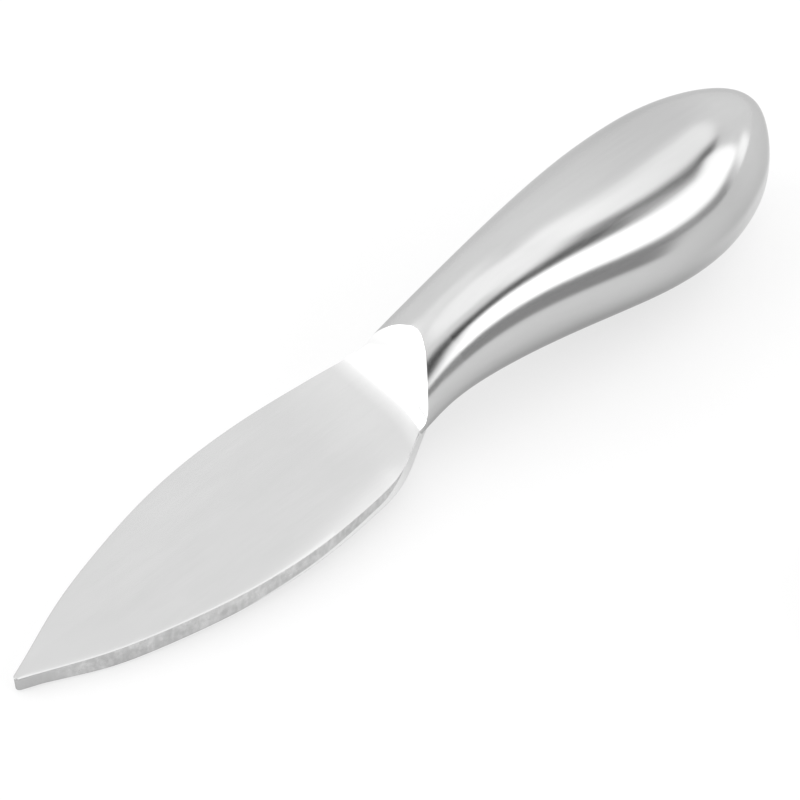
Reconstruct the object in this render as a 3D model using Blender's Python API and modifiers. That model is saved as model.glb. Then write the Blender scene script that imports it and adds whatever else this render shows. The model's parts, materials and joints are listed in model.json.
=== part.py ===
"""Cheese knife: a leaf shaped blade with a steep shoulder and a hollow two shell handle."""
import math

import bpy
import numpy as np

# Driving dimensions in millimetres and degrees.
# x runs from the blade tip to the butt, z = 0 is the flat top of the blade, -y is the cutting edge side.
MM = 0.001
OVERALL_LENGTH = 132.0
REST_TILT = 3.47
FIT_GAP = 0.3

# Blade leaf seen from above, half widths on the edge side and on the spine side.
EDGE_X = (0.0, 3.3, 10.0, 20.0, 30.0, 43.0, 52.0, 57.5, 62.0, 67.5)
EDGE_Y = (0.6, 1.8, 4.8, 8.05, 10.3, 11.4, 10.8, 9.7, 7.45, 4.6)
SPINE_Y = (0.6, 1.8, 4.8, 8.05, 10.3, 11.3, 10.85, 10.25, 9.65, 8.8)
SPINE_CORNER = 3.2
BLADE_STATIONS = 32
BLADE_THICKNESS = 3.55
TIP_THICKNESS = 2.45
TIP_TAPER_LENGTH = 11.0
HEEL_THICKNESS = 2.7
HEEL_TAPER_START = 60.0
EDGE_BREAK = 0.35

# Handle stations: half width, top and bottom heights.
HANDLE_X = (61.0, 68.0, 76.0, 88.0, 99.0, 110.0, 121.0)
HANDLE_HALF_WIDTH = (6.8, 6.7, 7.1, 8.8, 10.8, 11.9, 10.9)
HANDLE_TOP = (6.2, 9.8, 12.4, 13.7, 13.2, 12.5, 12.5)
HANDLE_BOTTOM = (-3.5, -3.0, -3.5, -5.1, -7.1, -9.2, -10.2)
SECTION_POWER = 2.15
NECK_SQUARENESS = 1.85
NECK_SQUARE_RUN = 6.0

# Rounding of the butt: run and power of the closing curve in plan, over the top and under the belly.
BUTT_HEIGHT = 1.5
PLAN_RUN = 18.2
PLAN_POWER = 2.05
TOP_RUN = 17.5
TOP_POWER = 2.8
BELLY_RUN = 10.0
BELLY_POWER = 2.9

# Shoulder between the blade and the top of the neck.
SHOULDER_START = 57.0
RAMP_START = 61.0
RAMP_SINK = 0.15
RAMP_BASE_RADIUS = 4.2
RAMP_SLOPE = 66.0
RAMP_CROWN_RADIUS = 5.5
RAMP_CROWN_Z = 7.84
RAMP_CROWN_SLOPE = 32.0
RAMP_PLAN_RADIUS = 24.0

# Hollow handle and what is inside it.
NECK_JOINT = 72.0
SHELL_WALL = 1.0
BRAZE_INSET = SHELL_WALL + FIT_GAP
BRAZE_THICKNESS = 0.8
BRAZE_START = 73.2
BRAZE_END = 77.8
SPIGOT_INSET = BRAZE_INSET + BRAZE_THICKNESS + FIT_GAP
SPIGOT_END = 79.0
TANG_END = 98.0
TANG_HALF_WIDTH = (3.6, 2.6)
TANG_HALF_HEIGHT = (1.9, 1.5)
TANG_HEIGHT = (4.4, 3.6)
BEDDING_START = SPIGOT_END + FIT_GAP
BEDDING_END = 101.0
SEAM_RADIUS = 0.5
SEAM_START = 79.0

RING_SIDES = 36
SHELL_SIDES = 18


def clear_scene():
    for item in list(bpy.data.objects):
        bpy.data.objects.remove(item, do_unlink=True)


def natural_cubic(xs, ys):
    """Smooth curve through the stations, straight beyond the first and the last."""
    xs = np.array(xs)
    ys = np.array(ys)
    count = len(xs)
    step = np.diff(xs)
    system = np.eye(count)
    rhs = np.zeros(count)
    for i in range(1, count - 1):
        system[i, i - 1:i + 2] = (step[i - 1], 2 * (step[i - 1] + step[i]), step[i])
        rhs[i] = 6 * ((ys[i + 1] - ys[i]) / step[i] - (ys[i] - ys[i - 1]) / step[i - 1])
    bend = np.linalg.solve(system, rhs)

    def value(x):
        i = int(np.clip(np.searchsorted(xs, x) - 1, 0, count - 2))
        h = step[i]
        slope = (ys[i + 1] - ys[i]) / h - h * (2 * bend[i] + bend[i + 1]) / 6
        inside = min(max(x, xs[0]), xs[-1])
        d = inside - xs[i]
        y = ys[i] + slope * d + bend[i] / 2 * d ** 2 + (bend[i + 1] - bend[i]) / (6 * h) * d ** 3
        tangent = slope + bend[i] * d + (bend[i + 1] - bend[i]) / (2 * h) * d ** 2
        return float(y + tangent * (x - inside))

    return value


edge_width = natural_cubic(EDGE_X, EDGE_Y)
spine_width = natural_cubic(EDGE_X, SPINE_Y)
half_width = natural_cubic(HANDLE_X, HANDLE_HALF_WIDTH)
top_height = natural_cubic(HANDLE_X, HANDLE_TOP)
bottom_height = natural_cubic(HANDLE_X, HANDLE_BOTTOM)


def closing(x, end, run, power):
    u = min(max((x - (end - run)) / run, 0.0), 1.0)
    return (1 - u ** power) ** (1 / power)


def handle_section(x, inset=0.0):
    """Half width, middle height and half height of the handle, pulled in by the inset."""
    end = OVERALL_LENGTH - inset
    width = (half_width(x) - inset) * closing(x, end, PLAN_RUN, PLAN_POWER)
    top = BUTT_HEIGHT + (top_height(x) - inset - BUTT_HEIGHT) * closing(x, end, TOP_RUN, TOP_POWER)
    low = BUTT_HEIGHT + (bottom_height(x) + inset - BUTT_HEIGHT) * closing(x, end, BELLY_RUN, BELLY_POWER)
    return width, (top + low) / 2, (top - low) / 2


def rounded(value, power):
    return math.copysign(abs(value) ** (2 / power), value)


def section_point(x, turn, inset=0.0, split=0.0):
    """Point of the handle section at a turn from the +y side over the top."""
    width, middle, height = handle_section(x, inset)
    squareness = NECK_SQUARENESS * math.exp(-((x - HANDLE_X[0]) / NECK_SQUARE_RUN) ** 2)
    power = SECTION_POWER if math.sin(turn) >= 0 else SECTION_POWER + squareness
    shift = math.copysign(split, math.sin(turn)) if split else 0.0
    y = width * rounded(math.cos(turn), power)
    z = middle + shift + (height - split) * rounded(math.sin(turn), power)
    return (x, y, z)


def handle_ring(x, inset=0.0):
    return [section_point(x, 2 * math.pi * k / RING_SIDES, inset) for k in range(RING_SIDES)]


def oval_ring(x, width, middle, height, power=5.0):
    turns = [2 * math.pi * k / RING_SIDES for k in range(RING_SIDES)]
    return [(x, width * rounded(math.cos(t), power), middle + height * rounded(math.sin(t), power)) for t in turns]


def tang_ring(x, grow=0.0):
    u = (x - SPIGOT_END) / (TANG_END - SPIGOT_END)
    width = TANG_HALF_WIDTH[0] + u * (TANG_HALF_WIDTH[1] - TANG_HALF_WIDTH[0])
    height = TANG_HALF_HEIGHT[0] + u * (TANG_HALF_HEIGHT[1] - TANG_HALF_HEIGHT[0])
    middle = TANG_HEIGHT[0] + u * (TANG_HEIGHT[1] - TANG_HEIGHT[0])
    return oval_ring(x, width + grow, middle, height + grow)


def steel(name, color, roughness, metallic=1.0):
    material = bpy.data.materials.new(name)
    material.use_nodes = True
    shader = material.node_tree.nodes["Principled BSDF"]
    shader.inputs["Base Color"].default_value = (*color, 1.0)
    shader.inputs["Metallic"].default_value = metallic
    shader.inputs["Roughness"].default_value = roughness
    return material


def make_object(name, points, faces, collection, material=None):
    mesh = bpy.data.meshes.new(name)
    mesh.from_pydata([(x * MM, y * MM, z * MM) for x, y, z in points], [], faces)
    mesh.validate()
    item = bpy.data.objects.new(name, mesh)
    collection.objects.link(item)
    if material:
        mesh.materials.append(material)
    else:
        item.hide_render = True
        item.display_type = "WIRE"
    return item


def loft(name, rings, collection, material=None):
    """Closed body through rings of equal count, turned over the top, with flat ends."""
    count = len(rings[0])
    points = [p for ring in rings for p in ring]
    faces = [tuple(range(count))[::-1]]
    for i in range(len(rings) - 1):
        for k in range(count):
            a = i * count + k
            b = i * count + (k + 1) % count
            faces.append((a, b, b + count, a + count))
    faces.append(tuple(range(len(points) - count, len(points))))
    return make_object(name, points, faces, collection, material)


def subtract(item, cutter):
    add_boolean(item, cutter, "DIFFERENCE")


def add_boolean(item, other, operation):
    change = item.modifiers.new(operation.lower(), "BOOLEAN")
    change.operation = operation
    change.solver = "EXACT"
    change.object = other


def blade_leaf(collection, material):
    """Flat leaf as a ladder of cross strips, thickened downwards and thinned at the tip and the heel."""
    stations = [k * (EDGE_X[-1] - SPINE_CORNER) / BLADE_STATIONS for k in range(BLADE_STATIONS + 1)]
    stations += [EDGE_X[-1] - 0.36 * SPINE_CORNER, EDGE_X[-1]]
    points = []
    for x in stations:
        corner = max(0.0, x - (EDGE_X[-1] - SPINE_CORNER))
        round_in = SPINE_CORNER - math.sqrt(max(0.0, SPINE_CORNER ** 2 - corner ** 2))
        points += [(x, spine_width(x) - round_in, 0.0), (x, -edge_width(x), 0.0)]
    faces = [(2 * i, 2 * i + 1, 2 * i + 3, 2 * i + 2) for i in range(len(stations) - 1)]
    blade = make_object("blade", points, faces, collection, material)
    share = blade.vertex_groups.new(name="thickness")
    for i, x in enumerate(stations):
        at_tip = min(1.0, x / TIP_TAPER_LENGTH)
        at_heel = max(0.0, (x - HEEL_TAPER_START) / (EDGE_X[-1] - HEEL_TAPER_START))
        thickness = TIP_THICKNESS + (BLADE_THICKNESS - TIP_THICKNESS) * at_tip
        thickness -= (BLADE_THICKNESS - HEEL_THICKNESS) * at_heel
        share.add([2 * i, 2 * i + 1], thickness / BLADE_THICKNESS, "REPLACE")
    body = blade.modifiers.new("thickness", "SOLIDIFY")
    body.thickness = BLADE_THICKNESS * MM
    body.offset = -1.0
    body.vertex_group = "thickness"
    breaks = blade.modifiers.new("broken edges", "BEVEL")
    breaks.width = EDGE_BREAK * MM
    breaks.segments = 2
    breaks.limit_method = "ANGLE"
    breaks.angle_limit = math.radians(50)
    return blade


def ramp_profile():
    """Side view of the shoulder: a hollow base, a steep straight and a rounded crown."""
    slope = math.radians(RAMP_SLOPE)
    base = [math.radians(RAMP_SLOPE * k / 6) for k in range(7)]
    line = [(40.0, -RAMP_SINK)]
    line += [(RAMP_START + RAMP_BASE_RADIUS * math.sin(a), RAMP_BASE_RADIUS * (1 - math.cos(a)) - RAMP_SINK)
             for a in base]
    x, z = line[-1]
    crown_x = x + (RAMP_CROWN_Z - z) / math.tan(slope)
    for k in range(6):
        a = math.radians(RAMP_SLOPE + (RAMP_CROWN_SLOPE - RAMP_SLOPE) * k / 5)
        line.append((crown_x + RAMP_CROWN_RADIUS * (math.sin(slope) - math.sin(a)),
                     RAMP_CROWN_Z + RAMP_CROWN_RADIUS * (math.cos(a) - math.cos(slope))))
    x, z = line[-1]
    line.append((x + 14.0, z + 14.0 * math.tan(math.radians(RAMP_CROWN_SLOPE))))
    line.append((40.0, line[-1][1]))
    return line


def ramp_cutter(collection):
    """Everything in front of the shoulder, hollowed slightly in plan."""
    rows = [15.0 - 2.5 * k for k in range(13)]
    profile = ramp_profile()
    rings = [[(x - y ** 2 / (2 * RAMP_PLAN_RADIUS), y, z) for x, z in profile] for y in rows]
    return loft("ramp_cutter", rings, collection)


def half_shell(name, side, collection, material):
    """Upper (side 1) or lower (side -1) half of the handle skin, open at the neck, closed at the butt."""
    straight = [NECK_JOINT + FIT_GAP + k * (OVERALL_LENGTH - 22.0 - NECK_JOINT - FIT_GAP) / 12 for k in range(12)]
    closing_turns = [math.pi / 2 * k / 15 for k in range(15)]
    stations = straight + [OVERALL_LENGTH - 22.0 + 22.0 * math.sin(a) for a in closing_turns]
    points = []
    for x in stations:
        for k in range(SHELL_SIDES + 1):
            turn = side * math.pi * min(max(k / SHELL_SIDES, 1e-4), 1 - 1e-4)
            points.append(section_point(x, turn, 0.0, FIT_GAP / 2))
    points.append((OVERALL_LENGTH, 0.0, BUTT_HEIGHT + side * FIT_GAP / 2))
    row = SHELL_SIDES + 1
    faces = []
    for i in range(len(stations) - 1):
        for k in range(SHELL_SIDES):
            a = i * row + k
            faces.append((a, a + 1, a + row + 1, a + row)[::side])
    last = (len(stations) - 1) * row
    for k in range(SHELL_SIDES):
        faces.append((last + k, last + k + 1, len(points) - 1)[::side])
    shell = make_object(name, points, faces, collection, material)
    wall = shell.modifiers.new("wall", "SOLIDIFY")
    wall.thickness = SHELL_WALL * MM
    wall.offset = -1.0
    return shell


def seam_bead(name, radius, collection, material=None):
    """Round bead along the inside of the seam, from the neck round the butt and back."""
    inset = SHELL_WALL + FIT_GAP + SEAM_RADIUS
    end = OVERALL_LENGTH - inset
    straight = [SEAM_START + k * (end - 22.0 - SEAM_START) / 10 for k in range(10)]
    curve = [end - 22.0 + 22.0 * math.sin(math.pi / 2 * k / 14) for k in range(15)]
    far = []
    for x in straight + curve:
        width, middle, height = handle_section(x, inset)
        far.append(np.array((x, width, middle)))
    path = far + [p * (1, -1, 1) for p in far[-2::-1]]
    rings = []
    for i, p in enumerate(path):
        ahead = path[min(i + 1, len(path) - 1)] - path[max(i - 1, 0)]
        ahead /= np.linalg.norm(ahead)
        side = np.cross(ahead, (0.0, 0.0, 1.0))
        side /= np.linalg.norm(side)
        up = np.cross(side, ahead)
        turns = [2 * math.pi * k / 8 for k in range(8)]
        rings.append([tuple(p - radius * (math.cos(t) * side - math.sin(t) * up)) for t in turns])
    return loft(name, rings, collection, material)


def stand_at_rest(parts, helpers):
    """Tip and belly on the ground, origin at the bottom centre of the bounding box."""
    tilt = -math.radians(REST_TILT)
    for item in parts + helpers:
        item.rotation_euler = (0.0, tilt, 0.0)
    bpy.context.view_layer.update()
    graph = bpy.context.evaluated_depsgraph_get()
    corners = []
    for item in parts:
        solid = item.evaluated_get(graph)
        corners += [solid.matrix_world @ v.co for v in solid.to_mesh().vertices]
        solid.to_mesh_clear()
    low = np.min(corners, axis=0)
    high = np.max(corners, axis=0)
    for item in parts + helpers:
        item.location = (-(low[0] + high[0]) / 2, -(low[1] + high[1]) / 2, -low[2])


def build():
    clear_scene()
    knife = bpy.data.collections.new("cheese_knife")
    cutters = bpy.data.collections.new("cutters")
    for collection in (knife, cutters):
        bpy.context.scene.collection.children.link(collection)

    blade = blade_leaf(knife, steel("blade_steel", (0.62, 0.62, 0.62), 0.34))
    rings = [handle_ring(SHOULDER_START + k * (NECK_JOINT - SHOULDER_START) / 8) for k in range(9)]
    rings += [handle_ring(NECK_JOINT, SPIGOT_INSET), handle_ring(SPIGOT_END, SPIGOT_INSET)]
    rings += [tang_ring(SPIGOT_END), tang_ring(TANG_END)]
    shoulder = loft("shoulder_body", rings, cutters)
    ramp = ramp_cutter(cutters)
    subtract(shoulder, ramp)
    add_boolean(blade, shoulder, "UNION")

    upper = half_shell("handle_upper_shell", 1, knife, steel("upper_shell_steel", (0.6, 0.6, 0.6), 0.3))
    lower = half_shell("handle_lower_shell", -1, knife, steel("lower_shell_steel", (0.6, 0.6, 0.6), 0.3))

    seam = seam_bead("seam_weld", SEAM_RADIUS, knife, steel("weld_steel", (0.42, 0.41, 0.4), 0.5))
    braze = loft("neck_braze", [handle_ring(x, BRAZE_INSET) for x in (BRAZE_START, BRAZE_END)], knife,
                 steel("braze_alloy", (0.72, 0.66, 0.5), 0.4))
    braze_bore = loft("braze_bore", [handle_ring(x, BRAZE_INSET + BRAZE_THICKNESS)
                                     for x in (BRAZE_START - 1, BRAZE_END + 1)], cutters)
    subtract(braze, braze_bore)

    bedding_x = [BEDDING_START + k * (BEDDING_END - BEDDING_START) / 5 for k in range(6)]
    bedding = loft("tang_bedding", [handle_ring(x, BRAZE_INSET) for x in bedding_x], knife,
                   steel("bedding_cement", (0.5, 0.47, 0.42), 0.9, 0.0))
    tang_room = loft("tang_room", [tang_ring(SPIGOT_END - 1, FIT_GAP), tang_ring(TANG_END + FIT_GAP, FIT_GAP)], cutters)
    seam_room = seam_bead("seam_room", SEAM_RADIUS + FIT_GAP, cutters)
    subtract(bedding, tang_room)
    subtract(bedding, seam_room)

    parts = [blade, upper, lower, seam, braze, bedding]
    stand_at_rest(parts, [shoulder, ramp, braze_bore, tang_room, seam_room])


build()
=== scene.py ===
# %% [markdown]
# # A leaf-bladed cheese knife in satin steel
#
# The knife is three visible pieces of stainless steel. A forging carries the flat leaf of the blade, the steep
# shoulder behind it and the tang. Two pressed half shells close round the tang and make the hollow handle.
# The solids of the part come in first, as a fixed frame. Every new piece is modelled over them, at the same
# place and size, so nothing has to be fitted by eye.

import json
import math

import bmesh
import bpy
import numpy as np
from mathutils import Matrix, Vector

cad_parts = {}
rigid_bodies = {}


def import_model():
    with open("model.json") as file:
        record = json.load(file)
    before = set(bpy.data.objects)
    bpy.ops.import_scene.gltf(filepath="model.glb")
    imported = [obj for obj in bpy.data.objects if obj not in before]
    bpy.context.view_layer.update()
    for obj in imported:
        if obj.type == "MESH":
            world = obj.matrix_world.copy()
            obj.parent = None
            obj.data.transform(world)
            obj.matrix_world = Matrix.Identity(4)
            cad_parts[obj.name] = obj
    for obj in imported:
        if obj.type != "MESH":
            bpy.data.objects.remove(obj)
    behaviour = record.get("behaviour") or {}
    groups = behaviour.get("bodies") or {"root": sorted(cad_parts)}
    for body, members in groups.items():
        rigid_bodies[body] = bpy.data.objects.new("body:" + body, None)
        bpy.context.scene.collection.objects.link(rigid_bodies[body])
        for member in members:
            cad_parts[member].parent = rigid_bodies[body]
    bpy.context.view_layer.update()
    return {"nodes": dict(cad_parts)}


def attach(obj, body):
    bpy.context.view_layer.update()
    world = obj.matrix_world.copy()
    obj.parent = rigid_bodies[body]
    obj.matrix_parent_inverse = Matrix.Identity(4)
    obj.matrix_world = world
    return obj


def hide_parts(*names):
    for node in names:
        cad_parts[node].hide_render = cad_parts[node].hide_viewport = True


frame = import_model()

# %% [markdown]
# ## Sizes on the bench
#
# The knife is drawn straight on the bench and laid down at the very end. On the bench x runs from the tip to the
# butt, z = 0 is the flat top of the blade and -y is the side of the cutting edge. A handful of stations along the
# knife give its widths and heights. A curve could be drawn by hand through them, but a natural cubic gives the same
# smooth line every time, and it is the line that the solids follow.

# %% Stations and smooth lines
MM = 0.001
LENGTH = 132.0
REST_TILT = 3.47

LEAF_X = (0.0, 3.3, 10.0, 20.0, 30.0, 43.0, 52.0, 57.5, 62.0, 67.5)
EDGE_Y = (0.4, 1.8, 4.8, 8.05, 10.3, 11.4, 10.8, 9.7, 7.45, 4.6)
SPINE_Y = (0.4, 1.8, 4.8, 8.05, 10.3, 11.3, 10.85, 10.25, 9.65, 8.8)

HANDLE_X = (61.0, 68.0, 76.0, 88.0, 99.0, 110.0, 121.0)
HANDLE_HALF_WIDTH = (6.8, 6.7, 7.1, 8.8, 10.8, 11.9, 10.9)
HANDLE_TOP = (6.2, 9.8, 12.4, 13.7, 13.2, 12.5, 12.5)
HANDLE_BOTTOM = (-3.5, -3.0, -3.5, -5.1, -7.1, -9.2, -10.2)


def smooth_line(xs, ys):
    """A natural cubic through the stations, straight beyond the last ones."""
    xs, ys = np.array(xs), np.array(ys)
    gap = np.diff(xs)
    system, load = np.eye(len(xs)), np.zeros(len(xs))
    for i in range(1, len(xs) - 1):
        system[i, i - 1:i + 2] = gap[i - 1], 2 * (gap[i - 1] + gap[i]), gap[i]
        load[i] = 6 * ((ys[i + 1] - ys[i]) / gap[i] - (ys[i] - ys[i - 1]) / gap[i - 1])
    bend = np.linalg.solve(system, load)

    def height(x):
        i = int(np.clip(np.searchsorted(xs, x) - 1, 0, len(xs) - 2))
        slope = (ys[i + 1] - ys[i]) / gap[i] - gap[i] * (2 * bend[i] + bend[i + 1]) / 6
        inside = min(max(x, xs[0]), xs[-1])
        d, twist = inside - xs[i], (bend[i + 1] - bend[i]) / gap[i]
        y = ys[i] + slope * d + bend[i] * d ** 2 / 2 + twist * d ** 3 / 6
        return float(y + (slope + bend[i] * d + twist * d ** 2 / 2) * (x - inside))

    return height


edge_width, spine_width = smooth_line(LEAF_X, EDGE_Y), smooth_line(LEAF_X, SPINE_Y)
half_width = smooth_line(HANDLE_X, HANDLE_HALF_WIDTH)
top_height, bottom_height = smooth_line(HANDLE_X, HANDLE_TOP), smooth_line(HANDLE_X, HANDLE_BOTTOM)
print("leaf width at 43 mm", edge_width(43) + spine_width(43), "handle width at 110 mm", 2 * half_width(110))

# %% [markdown]
# ## Small habits for edit mode
#
# Every operator works on what is selected, and the frame arrives selected. So each piece starts with nothing
# selected, and points, edges and faces are then picked by where they are. The helpers below do the steps that come
# back on every piece: opening it, picking, keeping some faces for a finish of their own, and adding a modifier that
# is applied at once.

# %% Picking and finishing
def begin():
    """Leave edit mode and let go of everything."""
    if bpy.context.object and bpy.context.object.mode == "EDIT":
        bpy.ops.object.mode_set(mode="OBJECT")
    bpy.ops.object.select_all(action="DESELECT")


def edit(piece):
    """Open one piece in edit mode with all of it selected."""
    begin()
    piece.select_set(True)
    bpy.context.view_layer.objects.active = piece
    bpy.ops.object.mode_set(mode="EDIT")
    bpy.ops.mesh.select_all(action="SELECT")


def pick(kind, test):
    """Select the points, edges or faces of the open piece that pass the test."""
    bpy.ops.mesh.select_mode(type={"verts": "VERT", "edges": "EDGE", "faces": "FACE"}[kind])
    bpy.ops.mesh.select_all(action="DESELECT")
    mesh = bpy.context.object.data
    shape = bmesh.from_edit_mesh(mesh)
    found = [item for item in getattr(shape, kind) if test(item)]
    for item in found:
        item.select_set(True)
    bmesh.update_edit_mesh(mesh)
    return len(found)


def mark(piece, slot, test):
    """Keep the faces that pass the test for a finish of their own."""
    while len(piece.data.materials) <= slot:
        piece.data.materials.append(None)
    found = pick("faces", test)
    piece.active_material_index = slot
    bpy.ops.object.material_slot_assign()
    return found


def finish_with(piece, kind, **settings):
    """Add a modifier, set it and apply it."""
    begin()
    piece.select_set(True)
    bpy.context.view_layer.objects.active = piece
    change = piece.modifiers.new(kind.lower(), kind)
    for name, value in settings.items():
        setattr(change, name, value)
    bpy.ops.object.modifier_apply(modifier=change.name)


def named(name):
    """Give the new primitive its name."""
    bpy.context.object.name = name
    bpy.context.object.data.name = name
    return bpy.context.object


# %% [markdown]
# ## One body for the neck and the handle
#
# The neck of the forging and the skin of the handle are ground flush on the real knife, so no joint shows. A
# sculpted blob could be cut up later, but rings keep the long highlight clean. A circle is squared up a little,
# drawn out ring by ring from the neck to the butt, and smoothed. It is cut at the joint afterwards, so both sides of
# the joint share the same surface.

# %% Handle sections
RING = 48
SECTION_POWER = 2.15
NECK_SQUARENESS, NECK_SQUARE_RUN = 1.85, 6.0
BUTT_HEIGHT = 1.5
PLAN_CLOSING, TOP_CLOSING, BELLY_CLOSING = (18.2, 2.05), (17.5, 2.8), (10.0, 2.9)  # run and power at the butt
NECK_START, NECK_JOINT, RING_STEP, BUTT_RUN = 57.0, 72.0, 2.5, 22.0
BUTT_RINGS = 24
RING_SWELL = 5.991 / (4 + 2 * math.cos(2 * math.pi / RING))  # smoothing pulls the ring in by about this much


def closing(x, run, power, end):
    """1 along the handle, falling to 0 at its end."""
    return (1 - min(max((x - end + run) / run, 0.0), 1.0) ** power) ** (1 / power)


def section(x, inset=0.0):
    """Half width, middle height and half height of the handle at x."""
    end = LENGTH - inset
    width = (half_width(x) - inset) * closing(x, *PLAN_CLOSING, end)
    top = BUTT_HEIGHT + (top_height(x) - inset - BUTT_HEIGHT) * closing(x, *TOP_CLOSING, end)
    low = BUTT_HEIGHT + (bottom_height(x) + inset - BUTT_HEIGHT) * closing(x, *BELLY_CLOSING, end)
    return width, (top + low) / 2, (top - low) / 2


def reach(y, z, power):
    """How far a squared-up circle stands from its middle in the direction of a point on the round one."""
    size = math.hypot(y, z)
    return (abs(y / size) ** power + abs(z / size) ** power) ** (-1 / power)


stations = list(np.arange(NECK_START, LENGTH - BUTT_RUN - 1, RING_STEP))
stations += [LENGTH - BUTT_RUN * (1 - math.sin(math.pi / 2 * k / BUTT_RINGS)) for k in range(BUTT_RINGS)]
print(len(stations), "rings of", RING)

# %% First ring, squared up
begin()
bpy.ops.mesh.primitive_circle_add(vertices=RING, radius=1.0, rotation=(0, math.pi / 2, 0))
body = named("handle_body")
bpy.ops.object.transform_apply(location=True, rotation=True, scale=True)
edit(body)
outline = bmesh.from_edit_mesh(body.data).verts
for share in sorted({round(reach(v.co.y, v.co.z, SECTION_POWER), 5) for v in outline}):
    pick("verts", lambda v: round(reach(v.co.y, v.co.z, SECTION_POWER), 5) == share)
    bpy.ops.transform.resize(value=(1, share, share), center_override=(0, 0, 0))
bpy.ops.mesh.select_all(action="SELECT")
width, middle, height = section(stations[0])
bpy.ops.transform.resize(value=(1, width * MM * RING_SWELL, height * MM * RING_SWELL), center_override=(0, 0, 0))
bpy.ops.transform.translate(value=(stations[0] * MM, 0, middle * MM))
print("first ring", round(2 * width, 2), "by", round(2 * height, 2), "mm")

# %% Drawn out ring by ring to the butt
for x0, x in zip(stations, stations[1:]):
    old, new = section(x0), section(x)
    bpy.ops.mesh.extrude_edges_move(TRANSFORM_OT_translate={"value": ((x - x0) * MM, 0, (new[1] - old[1]) * MM)})
    bpy.ops.transform.resize(value=(1, new[0] / old[0], new[2] / old[2]), center_override=(x * MM, 0, new[1] * MM))
bpy.ops.mesh.extrude_edges_move(TRANSFORM_OT_translate={"value": ((LENGTH - stations[-1]) * MM, 0, 0)})
bpy.ops.mesh.merge(type="COLLAPSE")
print("body", len(bmesh.from_edit_mesh(body.data).faces), "faces")

# %% [markdown]
# The underside of the neck is flatter than an oval, because it runs flush into the underside of the blade. The lower
# points of the first rings are pushed out to a squarer curve, less and less towards the handle.

# %% Squarer under the neck
for x in [s for s in stations if s < NECK_JOINT + 5]:
    width, middle, height = section(x)
    power = SECTION_POWER + NECK_SQUARENESS * math.exp(-((x - HANDLE_X[0]) / NECK_SQUARE_RUN) ** 2)

    def push(v):
        y, z = v.co.y / (width * MM), (v.co.z - middle * MM) / (height * MM)
        return round(reach(y, z, power) / reach(y, z, SECTION_POWER), 5)

    def lower(v):
        return abs(v.co.x - x * MM) < 1e-5 and v.co.z < middle * MM - 1e-6

    for share in sorted({push(v) for v in bmesh.from_edit_mesh(body.data).verts if lower(v)}):
        pick("verts", lambda v: lower(v) and push(v) == share)
        bpy.ops.transform.resize(value=(1, share, share), center_override=(x * MM, 0, middle * MM))
finish_with(body, "SUBSURF", levels=2, render_levels=2)
print("smoothed body", len(body.data.polygons), "faces")

# %% Cut at the joint
edit(body)
pick("faces", lambda f: f.calc_center_median().x < NECK_JOINT * MM)
bpy.ops.mesh.separate(type="SELECTED")
begin()
shoulder = next(o for o in bpy.context.scene.objects if o.name.startswith("handle_body."))
shoulder.name = shoulder.data.name = "blade_forging"
print("neck", len(shoulder.data.polygons), "handle", len(body.data.polygons), "faces")

# %% [markdown]
# ## The shoulder
#
# Behind the blade the steel climbs steeply to the top of the neck. Seen from the side it starts with a long flat
# toe, turns up through a tight hollow, climbs and rolls over at the crown. On the side of the cutting edge it stands
# a little further forward. A Boolean could cut it out of the neck, but it leaves slivers along the rim that a satin
# reflection shows. So the front of the neck is slid back along its own surface until it stands on the side view, and
# the opening is closed with straight rungs from side to side. Low down the neck flares out to the outline of the
# blade.

# %% Side view of the shoulder
RAMP_START, RAMP_SINK, CROWN_Z = 61.5, 0.005, 4.14
RAMP_ARCS = ((14.0, 0, 9), (3.6, 9, 35), (1.4, 35, 80), (-12.2, 80, 50), (-2.5, 50, 20))  # radius, slopes
LEAF_END, SPINE_CORNER = 67.5, 3.2


def ramp_line():
    """Points of the side view: a long toe, a tight hollow, a climb, a rounded crown and its rolled-over top."""
    line = [(RAMP_START, -RAMP_SINK)]
    for radius, first, last in RAMP_ARCS:
        (x, z), a0 = line[-1], math.radians(first)
        if radius < 0 and z < CROWN_Z:
            x, z = x + (CROWN_Z - z) / math.tan(a0), CROWN_Z
        line += [(x + radius * (math.sin(a) - math.sin(a0)), z + radius * (math.cos(a0) - math.cos(a)))
                 for a in np.radians(np.linspace(first, last, 40))]
    return np.array([(x, z) for x, z in line if z < top_height(x) - 0.01])


RAMP_X, RAMP_Z = ramp_line().T
print("shoulder climbs from", RAMP_X[0], "to", round(RAMP_X[-1], 2), "mm, crown at", round(RAMP_Z[-1], 2))

# %% Surface of the neck
FLARE_TOP, EDGE_HOLLOW = 5.0, 22.0


def leaf_side(x, y):
    """Half width of the blade at x, on the side of y. The far corner of the heel is rounded."""
    past = min(max(0.0, x - LEAF_END + SPINE_CORNER), SPINE_CORNER)
    return edge_width(x) if y < 0 else spine_width(x) - SPINE_CORNER + math.sqrt(SPINE_CORNER ** 2 - past ** 2)


def neck_power(x, z):
    return SECTION_POWER + (NECK_SQUARENESS * math.exp(-((x - HANDLE_X[0]) / NECK_SQUARE_RUN) ** 2) if z < 0 else 0.0)


def neck_point(x, turn):
    """Point of the neck's surface at x, in the direction of the turn from the +y side over the top."""
    width, middle, height = section(x)
    y, z = math.cos(turn), math.sin(turn)
    out = reach(y, z, neck_power(x, z))
    y, z = width * out * y, middle + height * out * z
    if -0.3 < z < FLARE_TOP:
        up = max(z, 0.0) / FLARE_TOP
        flare = max(0.0, leaf_side(x, y) - 0.03 - width) * (1 - (up if y < 0 else up ** 2)) ** 2
        y += math.copysign(flare * min(1.0, 2 * abs(y) / width, 1 + z / 0.3), y)
    return y, z


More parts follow.
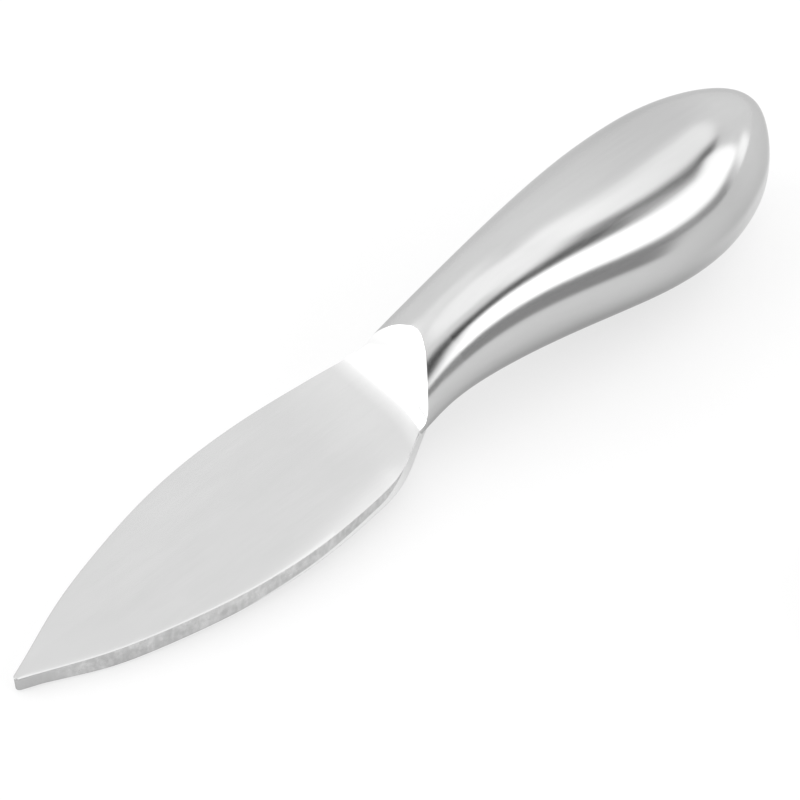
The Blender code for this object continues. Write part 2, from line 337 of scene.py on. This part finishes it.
def turn_at(x, z):
    """The turn at which the neck stands at this height."""
    width, middle, height = section(x)
    up = min(max((z - middle) / height, -1.0), 1.0)
    return math.atan2(up, (1 - abs(up) ** neck_power(x, up)) ** (1 / neck_power(x, up)))


def hollow(y):
    """How far the shoulder stands forward of its middle on the side of the cutting edge."""
    return min(y, 0.0) ** 2 / (2 * EDGE_HOLLOW)


def rim(x, z, side):
    """Where the shoulder cuts the surface of the neck at this height."""
    front = x
    for _ in range(15):
        turn = turn_at(front, z)
        front = x - hollow(neck_point(front, turn if side > 0 else math.pi - turn)[0])
    return front, turn


bend = np.abs(np.gradient(np.unwrap(np.arctan2(np.gradient(RAMP_Z), np.gradient(RAMP_X)))))
path = np.cumsum(np.hypot(np.gradient(RAMP_X), np.gradient(RAMP_Z)) + 5.0 * bend)
path = (path - path[0]) / (path[-1] - path[0])
rims = {side: np.array([rim(x, z, side) for x, z in zip(RAMP_X, RAMP_Z)]).T for side in (-1, 1)}
for side in rims:
    rims[side][1, -1] = math.pi / 2
print("rim on the side of the edge from", rims[-1][0, 0].round(2), "to", rims[-1][0, -1].round(2), "mm")

# %% Slide the front of the neck onto it
HIDDEN_FRONT, HIDDEN_DEPTH, FOOT_TURN = 59.4, -3.3, -0.5
edit(shoulder)
for v in bmesh.from_edit_mesh(shoulder.data).verts:
    x, side = v.co.x / MM, -1 if v.co.y < 0 else 1
    width, middle, height = section(x)
    turn = math.atan2((v.co.z / MM - middle) / height, abs(v.co.y) / MM / width)
    y, z = neck_point(x, turn if side > 0 else math.pi - turn)
    off_y, off_z = v.co.y / MM - y, v.co.z / MM - z
    share = (turn - FOOT_TURN) / (math.pi / 2 - FOOT_TURN)
    front = float(np.interp(share, path, rims[side][0])) if share >= 0 else HIDDEN_FRONT
    first = float(np.interp(share, path, rims[side][1])) if share >= 0 else turn
    back = (x - NECK_START) / (NECK_JOINT - NECK_START)
    x = front + (NECK_JOINT - front) * back
    low, high = neck_point(front, first)[1], neck_point(NECK_JOINT, turn)[1]
    level, by_turn = turn_at(x, low + (high - low) * back ** 3), first + (turn - first) * back
    turn = level + (by_turn - level) * (min(max((turn - 0.05) / 0.5, 0.0), 1.0) if share >= 0 else 1.0)
    y, z = neck_point(x, turn if side > 0 else math.pi - turn)
    z = max(z, HIDDEN_DEPTH) if x < HIDDEN_FRONT + 0.01 else z
    v.co = (x * MM, (y + off_y * back ** 4) * MM, (z + off_z * back ** 4) * MM)
print("front of the neck from", HIDDEN_FRONT, "to", round(RAMP_X[-1], 2), "mm")

# %% Close the opening with rungs and press in the hollow
WALL_FINISH, SHOULDER_FINISH = 1, 2


def front_edge(e):
    return e.is_boundary and max(v.co.x for v in e.verts) < (NECK_JOINT - 0.5) * MM


shape = bmesh.from_edit_mesh(shoulder.data)
neck_points, neck_faces = len(shape.verts), len(shape.faces)
sides = pick("edges", lambda e: front_edge(e) and min(abs(v.co.y) for v in e.verts) > 1e-6)
bpy.ops.mesh.bridge_edge_loops(type="SINGLE", number_cuts=15, interpolation="LINEAR")
shape = bmesh.from_edit_mesh(shoulder.data)
shape.verts.index_update()
for v in shape.verts:
    if v.index >= neck_points and v.co.z > -RAMP_SINK * MM - 1e-7:
        v.co.x = (np.interp(v.co.z / MM, RAMP_Z, RAMP_X) - hollow(v.co.y / MM)) * MM
shape.faces.index_update()
rungs = mark(shoulder, SHOULDER_FINISH, lambda f: f.index >= neck_faces)
pick("edges", lambda e: e.is_boundary)
bpy.ops.mesh.fill_holes(sides=0)
bpy.ops.mesh.select_all(action="SELECT")
bpy.ops.mesh.normals_make_consistent(inside=False)
print("rim edges", sides, "faces of the shoulder", rungs)

# %% [markdown]
# ## The leaf of the blade
#
# The blade is a thick flat plate cut to the outline of a leaf, thinner at the tip and under the heel. Next to the
# cutting edge the top is rubbed down in a soft roll, which is widest at the heel. A bevel could break the edges, but
# it tears where the outline comes to a point. So the outline is drawn point by point and pulled down ring by ring:
# over the polished edge on top, down the wall and round the lower edge. The two open faces are then closed with rungs
# from the cutting edge to the spine.

# %% Draw the outline
LEAF_THICKNESS, TIP_THICKNESS, HEEL_THICKNESS = 3.55, 2.45, 1.9
TIP_TAPER, HEEL_TAPER = 11.7, 60.0
NOSE = 0.35
TOP_BREAK, TIP_BREAK, UNDER_BREAK = 0.05, 0.12, 0.5
ROLL_WIDTH, HEEL_ROLL, ROLL_DROP, HEEL_DROP = 1.1, 4.2, 0.06, 0.26
ROLL_WIDENS, ROLL_RUN = 34.0, 18.0  # where the roll starts to widen, and over what length
BREAK_END, BREAK_FADE = 60.8, 4.0  # the broken edge fades out before the shoulder

along = [NOSE * (1 - math.cos(math.pi / 2 * k / 6)) for k in range(1, 6)]
along += list(np.linspace(NOSE, TIP_TAPER, 18)) + list(np.linspace(TIP_TAPER, HEEL_TAPER, 71))[1:]
along += list(np.linspace(HEEL_TAPER, LEAF_END - SPINE_CORNER, 9))[1:-1]
along += [LEAF_END - SPINE_CORNER * (1 - math.sin(math.pi / 2 * k / 8)) for k in range(9)]


def nose(x):
    return math.sqrt(1 - (1 - min(x, NOSE) / NOSE) ** 2)


outline = [(along[0], 0.0)] + [(x, -leaf_side(x, -1) * nose(x)) for x in along]
outline += [(x, leaf_side(x, 1) * nose(x)) for x in reversed(along)]
begin()
bpy.ops.mesh.primitive_plane_add(size=MM, location=(0, 0, 0))
leaf = named("leaf")
edit(leaf)
bpy.ops.mesh.select_mode(type="VERT")
bpy.ops.mesh.merge(type="CENTER")
for (x0, y0), (x, y) in zip(outline, outline[1:]):
    bpy.ops.mesh.extrude_vertices_move(TRANSFORM_OT_translate={"value": ((x - x0) * MM, (y - y0) * MM, 0)})
shape = bmesh.from_edit_mesh(leaf.data)
place = shape.verts.layers.int.new("place")
for v in shape.verts:
    v[place] = min(range(len(outline)), key=lambda i: math.dist(outline[i], (v.co.x / MM, v.co.y / MM)))
pick("verts", lambda v: len(v.link_edges) == 1)
bpy.ops.mesh.edge_face_add()
print("outline of", len(outline), "points")

# %% Pull it down ring by ring
def thickness(x):
    short = min(max(TIP_TAPER - x + 3.0, 0.0), 6.0) ** 2 / 12 + max(TIP_TAPER - x - 3.0, 0.0)
    tip = (LEAF_THICKNESS - TIP_THICKNESS) * short / TIP_TAPER
    heel = (LEAF_THICKNESS - HEEL_THICKNESS) * max(0.0, (x - HEEL_TAPER) / (LEAF_END - HEEL_TAPER)) ** 1.4
    return LEAF_THICKNESS - tip - heel


def ring_point(i, level, step):
    """Where point i of the outline goes: level 0 is the polished roll, 1 the edge on top, 2 the lower edge."""
    (x0, y0), (x, y), (x1, y1) = outline[i - 1], outline[i], outline[(i + 1) % len(outline)]
    run = math.hypot(x1 - x0, y1 - y0)
    inward = ((y0 - y1) / run, (x1 - x0) / run)
    room = max(abs(y), 0.15)
    heel = min(max((BREAK_END - x) / BREAK_FADE, 0.1), 1.0)
    top = float(np.interp(x, (0, 5), (min(TIP_BREAK, 0.5 * room), TOP_BREAK))) * heel
    under = min(UNDER_BREAK, 0.3 * room)
    along_edge = np.clip((x - ROLL_WIDENS) / ROLL_RUN, 0, 1) if y < 0 else 0.0
    roll = min(float(ROLL_WIDTH + (HEEL_ROLL - ROLL_WIDTH) * along_edge), 0.7 * room)
    drop = float(ROLL_DROP + (HEEL_DROP - ROLL_DROP) * along_edge) * heel
    turn = math.pi / 2 * step
    if level == 0:
        off, depth = roll + (top - roll) * step, drop * step ** 2
    elif level == 1:
        off, depth = top * (1 - math.sin(turn)), drop + 1.6 * top * (1 - math.cos(turn))
    else:
        off, depth = under * (1 - math.cos(turn)), thickness(x) - under * (1 - math.sin(turn))
    return (x + inward[0] * off) * MM, (y + inward[1] * off) * MM, -depth * MM


def settle(level, step):
    """Put the selected ring in its place."""
    shape = bmesh.from_edit_mesh(leaf.data)
    place = shape.verts.layers.int["place"]
    for v in shape.verts:
        if v.select:
            v.co = ring_point(v[place], level, step)
    bmesh.update_edit_mesh(leaf.data)


bpy.ops.mesh.select_all(action="SELECT")
settle(0, 0.0)
rings = [(0, k / 4) for k in range(1, 5)] + [(1, k / 4) for k in range(1, 5)] + [(2, k / 4) for k in range(5)]
for level, step in rings:
    bpy.ops.mesh.extrude_edges_move()
    settle(level, step)
rung = len(along)
for level in ("top", "underside"):
    place = bmesh.from_edit_mesh(leaf.data).verts.layers.int["place"]

    def open_side(e):
        a, b = sorted(v[place] for v in e.verts)
        flat = max(v.co.z for v in e.verts) > -0.01 * MM
        return e.is_boundary and flat == (level == "top") and a > 0 and (b <= rung or a > rung)

    pick("edges", open_side)
    bpy.ops.mesh.bridge_edge_loops(type="SINGLE", number_cuts=0)
pick("edges", lambda e: e.is_boundary)
bpy.ops.mesh.fill_holes(sides=0)
bpy.ops.mesh.select_all(action="SELECT")
bpy.ops.mesh.normals_make_consistent(inside=False)
mark(leaf, SHOULDER_FINISH, lambda f: False)
walls = mark(leaf, WALL_FINISH, lambda f: -0.97 < f.normal.z < 0.6)
open_edges = pick("edges", lambda e: not e.is_manifold)
print("leaf", len(bmesh.from_edit_mesh(leaf.data).faces), "faces,", walls, "on the wall,", open_edges, "open edges")

# %% Weld the leaf to the shoulder
begin()
finish_with(shoulder, "BOOLEAN", operation="UNION", solver="MANIFOLD", object=leaf)
bpy.data.objects.remove(leaf, do_unlink=True)
forging = shoulder
edit(forging)
bpy.ops.mesh.remove_doubles(threshold=0.00001)
print("forging", len(bmesh.from_edit_mesh(forging.data).faces), "faces")

# %% [markdown]
# ## The tang
#
# Behind the joint the forging steps down to a spigot that plugs the handle, and then to a short tang bedded in it.
# None of it shows, but it is what makes the blade one piece with its fixing. The flat back of the neck is drawn out
# and narrowed four times.

# %% Spigot and tang
SPIGOT_INSET, SPIGOT_END, TANG_END = 2.4, 79.0, 98.0
TANG_ROOT, TANG_TIP = (3.6, 4.4, 1.9), (2.6, 3.6, 1.5)  # half width, middle height and half height
width, middle, height = section(NECK_JOINT)
steps = [(NECK_JOINT, width, middle, height), (NECK_JOINT, width - SPIGOT_INSET, middle, height - SPIGOT_INSET),
         (SPIGOT_END, *section(SPIGOT_END, SPIGOT_INSET)), (SPIGOT_END, *TANG_ROOT), (TANG_END, *TANG_TIP)]
pick("faces", lambda f: f.normal.x > 0.99 and f.calc_center_median().x > (NECK_JOINT - 0.01) * MM)
for old, new in zip(steps, steps[1:]):
    bpy.ops.mesh.extrude_region_move(TRANSFORM_OT_translate={
        "value": ((new[0] - old[0]) * MM, 0, (new[2] - old[2]) * MM)})
    bpy.ops.transform.resize(value=(1, new[1] / old[1], new[3] / old[3]),
                             center_override=(new[0] * MM, 0, new[2] * MM))
bpy.ops.mesh.select_all(action="SELECT")
bpy.ops.mesh.normals_make_consistent(inside=False)
open_edges = pick("edges", lambda e: not e.is_manifold)
print("forging with its tang", len(bmesh.from_edit_mesh(forging.data).faces), "faces,", open_edges, "open edges")

# %% [markdown]
# ## Two half shells
#
# The handle is pressed from sheet in an upper and a lower half that meet along the widest line, where a ring of
# edges already runs. The faces above that line become a piece of their own, and each half gets the thickness of its
# sheet on the inside, so the outside keeps its shape.

# %% Part the handle and give it a wall
SHELL_WALL = 1.0
edit(body)
bpy.ops.mesh.normals_make_consistent(inside=False)


def above_widest(f):
    centre = f.calc_center_median()
    return centre.z / MM > section(centre.x / MM)[1]


print("upper faces", pick("faces", above_widest))
bpy.ops.mesh.separate(type="SELECTED")
begin()
upper = next(o for o in bpy.context.scene.objects if o.name.startswith("handle_body."))
lower_half = body
for half, name in ((upper, "handle_upper_skin"), (lower_half, "handle_lower_skin")):
    half.name = half.data.name = name
    finish_with(half, "SOLIDIFY", thickness=SHELL_WALL * MM, offset=-1.0)
    print(name, len(half.data.polygons), "faces")

# %% [markdown]
# ## Laying the knife down
#
# The knife rests on its tip and on the belly of the handle, nose down by a few degrees. Each piece is turned and
# moved as a whole and the move is applied, so that its object sits at the origin like the solids do. Flat faces keep
# their own shading next to the small broken edges, which is what a weighted normal does.

# %% Turn, move and shade
BENCH_ZERO = (-65.9016 * MM, 0.0, 2.8603 * MM)
skins = [forging, upper, lower_half]
for piece in skins:
    begin()
    piece.rotation_euler = (0.0, -math.radians(REST_TILT), 0.0)
    piece.location = BENCH_ZERO
    piece.select_set(True)
    bpy.context.view_layer.objects.active = piece
    bpy.ops.object.transform_apply(location=True, rotation=True, scale=True)
    bpy.ops.object.shade_smooth_by_angle(angle=math.radians(32))
finish_with(forging, "WEIGHTED_NORMAL", weight=50, keep_sharp=True)
for piece, *nodes in ((forging, "blade"), (upper, "handle_upper_shell"), (lower_half, "handle_lower_shell")):
    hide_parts(*nodes)
    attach(piece, "root")
    print(piece.name, "stands for", nodes)

# %% [markdown]
# ## Finishes
#
# A material is a net of nodes, and much of it is plain arithmetic. Writing that arithmetic with links is slow to
# read, so one small class wraps an output socket: adding or multiplying two of them adds a Math node. Every other
# kind of node comes from one method, which takes the node's settings first and then what goes into its sockets.

# %% Arithmetic on sockets
class Wire:
    """An output socket that can be reckoned with."""

    def __init__(self, tree, socket=None):
        self.tree, self.socket = tree, socket

    def node(self, kind, settings, inputs, out=0):
        made = self.tree.nodes.new(kind)
        for name, value in settings.items():
            setattr(made, name, value)
        for name, value in inputs.items():
            if isinstance(value, Wire):
                self.tree.links.new(value.socket, made.inputs[name])
            else:
                made.inputs[name].default_value = value
        return Wire(self.tree, made.outputs[out])

    def sum(self, operation, *values):
        return self.node("ShaderNodeMath", {"operation": operation}, dict(enumerate(values)))

    def __add__(self, other):
        return self.sum("ADD", self, other)

    def __sub__(self, other):
        return self.sum("SUBTRACT", self, other)

    def __rsub__(self, other):
        return self.sum("SUBTRACT", other, self)

    def __mul__(self, other):
        return self.sum("MULTIPLY", self, other)

    __radd__, __rmul__ = __add__, __mul__

    def between(self, low, high):
        """0 below low, 1 above high and a soft step from one to the other."""
        return self.node("ShaderNodeMapRange", {"interpolation_type": "SMOOTHSTEP"},
                         {"Value": self, "From Min": low, "From Max": high})

    def blend(self, first, second):
        """One colour where this is 0, the other where it is 1."""
        return self.node("ShaderNodeMix", {"data_type": "RGBA"}, {0: self, 6: first, 7: second}, out=2)

    def stretched(self, *scale):
        return self.node("ShaderNodeVectorMath", {"operation": "MULTIPLY"}, {0: self, 1: scale})

    def noise(self, size, detail=3.0, rough=0.55):
        """Cloudy noise with blotches of about this many millimetres."""
        return self.node("ShaderNodeTexNoise", {}, {
            "Vector": self, "Scale": 1 / (size * MM), "Detail": detail, "Roughness": rough})


def grey(value):
    return (value, value, value, 1.0)


def new_material(name):
    """A material, the Wire of its object coordinates and its shader."""
    made = bpy.data.materials.new(name)
    made.use_nodes = True
    start = Wire(made.node_tree).node("ShaderNodeTexCoord", {}, {}, out="Object")
    return made, start, made.node_tree.nodes["Principled BSDF"]


def wire_up(shader, start, colour, roughness, height, depth, metallic=1.0):
    """Join colour, roughness and a bump of this many millimetres to the shader."""
    bump = start.node("ShaderNodeBump", {}, {"Strength": 1.0, "Distance": depth * MM, "Height": height})
    for name, wire in (("Base Color", colour), ("Roughness", roughness), ("Normal", bump)):
        start.tree.links.new(wire.socket, shader.inputs[name])
    shader.inputs["Metallic"].default_value = metallic
    shader.inputs["Specular Tint"].default_value = grey(0.75)


print("light steel grey", grey(0.60))

# %% [markdown]
# ## Satin steel
#
# The knife is polished along its length and then dulled a little, as steel for the table is. So there are fine lines
# along x, soft clouds where the wheel pressed harder, and a few longer hairlines from use. All three change the
# roughness most, the colour a little and the surface only by thousandths of a millimetre. A stretched noise gives the
# lines without any picture. The tone also carries painted light and shade, set by place: painted shade under the neck
# and on top of the butt, a painted highlight low on the butt, and a painted highlight that makes the shoulder nearly
# white.

# %% Polished faces
TIP_BACK, LOWER_EDGE = 65.9, 0.683  # millimetres from the origin back to the tip and down to the lower edge
# Tone of the blade at the foot of the shoulder, where the painted sheen has lightened it.
FOOT_TONE = 0.67


def along_blade(start):
    """Millimetres along the bench, across it and above the lower edge of the blade."""
    x, y, z = (start.node("ShaderNodeSeparateXYZ", {}, {0: start}, out=i) * (1 / MM) for i in range(3))
    return x + TIP_BACK, y, z - (x + TIP_BACK) * math.sin(math.radians(REST_TILT)) + LOWER_EDGE


def satin_steel(name, roughness, tone):
    """Polished steel. Its tone depends on the place along and above the blade."""
    made, start, shader = new_material(name)
    brushed = start.stretched(0.02, 1.0, 1.0).noise(0.16, detail=2.0)
    streaks = start.stretched(0.035, 1.0, 1.0).noise(0.9)
    hairlines = start.stretched(0.05, 1.0, 1.0).noise(1.1, detail=6.0, rough=0.7).between(0.63, 0.72)
    clouds = start.stretched(0.4, 1.0, 1.0).noise(9.0)
    specks = start.noise(0.35, detail=1.0).between(0.70, 0.80)
    shade = (clouds * 0.6 + brushed * 0.2 + streaks * 0.2).between(0.30, 0.70)
    rough = roughness + (clouds - 0.5) * 0.08 + (brushed - 0.5) * 0.05 + hairlines * 0.03 + specks * 0.03
    height = brushed * 0.1 + streaks + hairlines * 0.06
    wire_up(shader, start, tone(*along_blade(start)) + (shade - 0.55) * 0.035, rough, height, 0.004)
    return made


def handle_tone_painted_light(forward, across, above):
    """Painted shade below the widest line along the neck and on top of the butt, and a painted highlight at the butt
    along and below the widest line.
    """
    widest = 4.9 + forward.between(58, 78) * 3.1 - forward.between(80, 118) * 3.3
    below = (widest - above).between(-1.0, 5.5)
    # Painted shade on top of the butt, above the widest line.
    painted_shade_on_top = forward.between(94, 114) * (1 - forward.between(116, 124)) * (1 - below) * 0.065
    # Painted highlight along and just below the widest line at the butt.
    light = (widest - above).between(-1.5, 1.0) * forward.between(106, 124) * 0.25
    # Painted shade below the widest line along the neck, turning into a painted lighter tone at the butt.
    return 0.577 - painted_shade_on_top + light + below * (forward.between(98, 124) * 0.25 - 0.20)


def blade_tone_painted_light(forward, across, above):
    """A painted sheen that makes it a little lighter towards the heel, and behind it the tone of the handle with its
    painted light and shade.
    """
    # Painted sheen: lighter towards the heel.
    flat = 0.60 + forward.between(5, 40) * 0.03 + forward.between(50, 62) * 0.04
    return flat + forward.between(62, 66) * (handle_tone_painted_light(forward, across, above) - FOOT_TONE)


def shoulder_painted_light(forward, across, above):
    """As bright as the blade at its foot, and above it a painted highlight that turns it nearly white up the climb,
    with painted shade in the corner by the cutting edge and a fade at the crown to the tone of the neck.
    """
    crown = forward.between(RAMP_X[-1] - 1.8, RAMP_X[-1] - 0.2)
    climb = above.sum("SQRT", above.sum("MAXIMUM", above - LEAF_THICKNESS, 0.0))
    # Painted highlight up the climb, held back by painted shade in the corner by the cutting edge.
    white = (climb - (0 - across).between(4.5, 7.5) * 0.2).between(0.3, 1.0)
    return FOOT_TONE - crown * 0.093 + white * (1 - crown) * 0.31


# Each steel carries painted light and shade in its tone: painted sheen, shade and highlight set by place.
blade_steel = satin_steel("blade_satin_steel", 0.20, blade_tone_painted_light)
shoulder_steel = satin_steel("shoulder_steel_painted_highlight", 0.17, shoulder_painted_light)
upper_steel = satin_steel("upper_shell_satin_steel", 0.16, handle_tone_painted_light)
lower_steel = satin_steel("lower_shell_satin_steel", 0.17, handle_tone_painted_light)
print("satin steels", [m.name for m in (blade_steel, shoulder_steel, upper_steel, lower_steel)])

# %% [markdown]
# The wall of the blade is left as it came from grinding the outline. It is duller than the faces and a little
# blotchy, with faint marks from top to bottom. From the middle of the blade on, a painted reflection lightens it from
# below, and at the heel it covers the whole wall. Painted shade darkens its lower edge and its end at the tip.

# %% Ground wall of the blade
ground_steel, start, shader = new_material("ground_wall_steel")
marks = start.stretched(1.0, 1.0, 0.10).noise(0.3, detail=2.0)
blotches = start.noise(3.2, detail=4.0, rough=0.6)
pits = start.noise(0.6, detail=2.0).between(0.66, 0.76)
forward, _, above = along_blade(start)
grain = start.stretched(1.0, 1.0, 0.5).noise(0.8, detail=3.0).between(0.38, 0.66)
# Blotchy tone, with painted shade that darkens it towards the tip.
tone = (blotches.between(0.34, 0.66) * 0.5 + grain * 0.4 + marks * 0.1) * forward.between(0, 9)
# Painted reflection that lightens the wall from below, from the middle of the blade to the heel.
bright = forward.between(22, 38) * 0.85 + forward.between(36, 54) * 0.6 + forward.between(53, 60) * 2.2
bright = (bright - above).between(-0.2, 0.2) * (above - 0.2).between(-0.1, 0.1)
# Painted shade along the lower edge of the wall.
blotchy_wall_painted_shade = (0.35 - above).between(-0.25, 0.25).blend(tone.blend(grey(0.49), grey(0.70)), grey(0.42))
rough = 0.25 + (blotches - 0.5) * 0.12 + (marks - 0.5) * 0.06 + pits * 0.06
wire_up(shader, start, bright.blend(blotchy_wall_painted_shade, grey(0.95)), rough, marks * 0.3 + pits * 0.3 + blotches, 0.004)

for piece, *steels in ((forging, blade_steel, ground_steel, shoulder_steel), (upper, upper_steel),
                       (lower_half, lower_steel)):
    for slot, steel in enumerate(steels):
        if len(piece.data.materials) <= slot:
            piece.data.materials.append(None)
        piece.data.materials[slot] = steel
    used = {face.material_index for face in piece.data.polygons}
    print(piece.name, [piece.data.materials[slot].name for slot in sorted(used)])

# %% [markdown]
# ## Inside the handle
#
# Three solids never show on the finished knife: the weld along the inside of the shells, the braze round the spigot
# and the bedding of the tang. They keep their solids. The weld is rippled and tinted by heat, the braze is a warm
# silver alloy and the bedding is a grainy cement.

# %% Weld, braze and bedding
weld, start, shader = new_material("heat_tinted_weld")
ripples = start.stretched(1.0, 0.2, 0.2).noise(0.7, detail=2.0)
heat = start.stretched(0.5, 1.0, 1.0).noise(3.0)
wire_up(shader, start, heat.between(0.35, 0.65).blend((0.62, 0.53, 0.36, 1), (0.38, 0.38, 0.47, 1)),
        0.30 + ripples * 0.25, ripples, 0.08)
braze, start, shader = new_material("silver_braze")
flow = start.noise(1.6, detail=4.0)
wire_up(shader, start, flow.between(0.3, 0.7).blend((0.66, 0.58, 0.42, 1), (0.80, 0.74, 0.60, 1)),
        0.26 + flow * 0.22, flow, 0.05)
cement, start, shader = new_material("grainy_bedding_cement")
grains = start.noise(0.5, detail=5.0, rough=0.65)
wire_up(shader, start, grains.between(0.3, 0.7).blend((0.30, 0.29, 0.27, 1), (0.48, 0.47, 0.44, 1)),
        0.75 + grains * 0.2, grains, 0.12, metallic=0.0)
for name, inside in (("seam_weld", weld), ("neck_braze", braze), ("tang_bedding", cement)):
    solid = frame["nodes"][name]
    solid.data.materials.clear()
    solid.data.materials.append(inside)
    print(name, "finished with", inside.name)

# %% [markdown]
# ## A small studio
#
# Polished steel shows its surroundings, so the light is arranged for what the knife should mirror. A long bright
# panel stands on the right. The dark gap above it draws the dark line along the handle, and a dim strip below it
# draws a second one. The rest of the room is light grey and brighter overhead. Panels could be built as lit objects,
# but painting the room by direction in the world takes fewer pieces. One area lamp on the left lights the shoulder
# and gives the knife its shadow.

# %% The room
world = bpy.data.worlds.new("studio_room")
bpy.context.scene.world = world
world.use_nodes = True
towards = Wire(world.node_tree).node("ShaderNodeTexCoord", {}, {}, out="Generated")
height = towards.node("ShaderNodeSeparateXYZ", {}, {0: towards}, out=2)
rise = height.sum("ARCSINE", height) * (180 / math.pi)


def around(point, middle):
    """Degrees round from a direction on the floor."""
    x, y = (point.node("ShaderNodeSeparateXYZ", {}, {0: point}, out=i) for i in (0, 1))
    c, s = math.cos(math.radians(middle)), math.sin(math.radians(middle))
    return x.sum("ARCTAN2", y * c - x * s, x * c + y * s) * (180 / math.pi)


def patch(middle, spread, low, high, sides, foot, head, tilt=0.0):
    """1 inside this part of the room, in degrees round and up, and 0 outside, with edges this soft."""
    away = around(towards, middle)
    level = rise - away * tilt
    inside = (spread - away.sum("ABSOLUTE", away)).between(-sides, sides)
    return inside * level.between(low - foot, low + foot) * (high - level).between(-head, head)


room = rise.between(64, 74).blend(grey(1.08), grey(1.48))
for level, place in ((0.6, patch(-156, 34, -20, 50, 8, 8, 10)), (1.55, patch(-16, 58, 54.5, 70, 10, 4, 7)),
                     (1.28, patch(110, 40, 50, 68, 12, 6, 6)), (0.08, patch(-112, 14, 24, 56, 4, 8, 5)),
                     (0.05, patch(-65, 45, 45.8, 57.5, 9, 2, 5, 0.1)), (0.37, patch(-80, 18, -8, 13, 5, 4, 4)),
                     (0.5, patch(-54, 9, -8, 11, 4, 4, 3)), (2.1, patch(-62, 30, 13.5, 44.4, 4, 4, 1.5, 0.1)),
                     (2.1, patch(-40, 8, 22, 51.3, 3, 4, 1.5, 0.5)), (1.7, patch(-29, 7, -2, 16, 4, 4, 5))):
    room = place.blend(room, grey(level))
world.node_tree.links.new(room.socket, world.node_tree.nodes["Background"].inputs["Color"])
print("room painted in", len(world.node_tree.nodes), "nodes")

# %% A soft box on the left
BOX_ROUND, BOX_UP, BOX_FAR = math.radians(147), math.radians(27), 1.2
BOX_WIDE, BOX_TALL, BOX_LEVEL = 1.05, 1.15, 1.3  # the level is what a mirror would show
flat = math.cos(BOX_UP)
place = BOX_FAR * Vector((math.cos(BOX_ROUND) * flat, math.sin(BOX_ROUND) * flat, math.sin(BOX_UP)))
begin()
bpy.ops.object.light_add(type="AREA", location=place, rotation=place.to_track_quat("Z", "Y").to_euler())
lamp = named("soft_box_left")
lamp.data.shape, lamp.data.size, lamp.data.size_y = "RECTANGLE", BOX_WIDE, BOX_TALL
lamp.data.energy = BOX_LEVEL * math.pi * BOX_WIDE * BOX_TALL
print(lamp.name, round(lamp.data.energy, 2), "W")

# %% [markdown]
# ## Floor and camera
#
# The knife lies on a white sheet, which is a little uneven in tone as paper is. Most of what the camera sees of it is
# plain white, so the paper stays white without more light on the steel, and the shadow stays soft. A dim strip in
# front of the handle shows only in the steel and draws the dark line under the long highlight. The camera looks down
# along a long lens, so the knife runs across the picture from the tip at the lower left to the butt at the upper
# right.

# %% Floor
begin()
bpy.ops.mesh.primitive_plane_add(size=4.0, location=(0, 0, 0))
floor = named("floor")
paper, start, shader = new_material("white_paper")
tooth = start.noise(0.8, detail=3.0)
sheet = start.noise(60.0).between(0.3, 0.7)
from_handle = start.node("ShaderNodeVectorMath", {"operation": "SUBTRACT"}, {0: start, 1: (0.03, 0.0, 0.0)})
away = around(from_handle, -78)
far = from_handle.node("ShaderNodeVectorMath", {"operation": "LENGTH"}, {0: from_handle}, out="Value")
dim = (14 - away).between(-5, 5) * (away + 24).between(-6, 6) * far.between(0.045, 0.075)
tone = dim.blend(sheet.blend(grey(0.89), grey(0.91)), grey(0.30))
wire_up(shader, start, tone, 0.75 + tooth * 0.1, tooth, 0.01, metallic=0.0)
shader.inputs["Specular IOR Level"].default_value = 0.1
seen, mirrored = (start.node("ShaderNodeLightPath", {}, {}, out=f"Is {ray} Ray") for ray in ("Camera", "Glossy"))
white = start.node("ShaderNodeEmission", {}, {"Color": grey(1.0), "Strength": 1.0})
lit = Wire(paper.node_tree, shader.outputs[0])
share = seen * (0.65 + dim.between(0.0, 0.25) * 0.35) + mirrored * 0.5 * (1 - dim)
mixed = start.node("ShaderNodeMixShader", {}, {0: share, 1: lit, 2: white})
paper.node_tree.links.new(mixed.socket, paper.node_tree.nodes["Material Output"].inputs["Surface"])
floor.data.materials.append(paper)
print("floor", floor.dimensions[:2])

# %% Camera
look_from, look_at = Vector((-0.26537, -0.29590, 0.48301)), Vector((-0.00089, -0.00087, 0.00680))
begin()
bpy.ops.object.camera_add(location=look_from, rotation=(look_at - look_from).to_track_quat("-Z", "Y").to_euler())
camera = named("camera")
camera.data.lens = 210.9
camera.data.sensor_width = 36.0
bpy.context.scene.camera = camera
bpy.context.scene.view_settings.view_transform = "Standard"
print("camera", round((look_at - look_from).length, 3), "m from the knife")
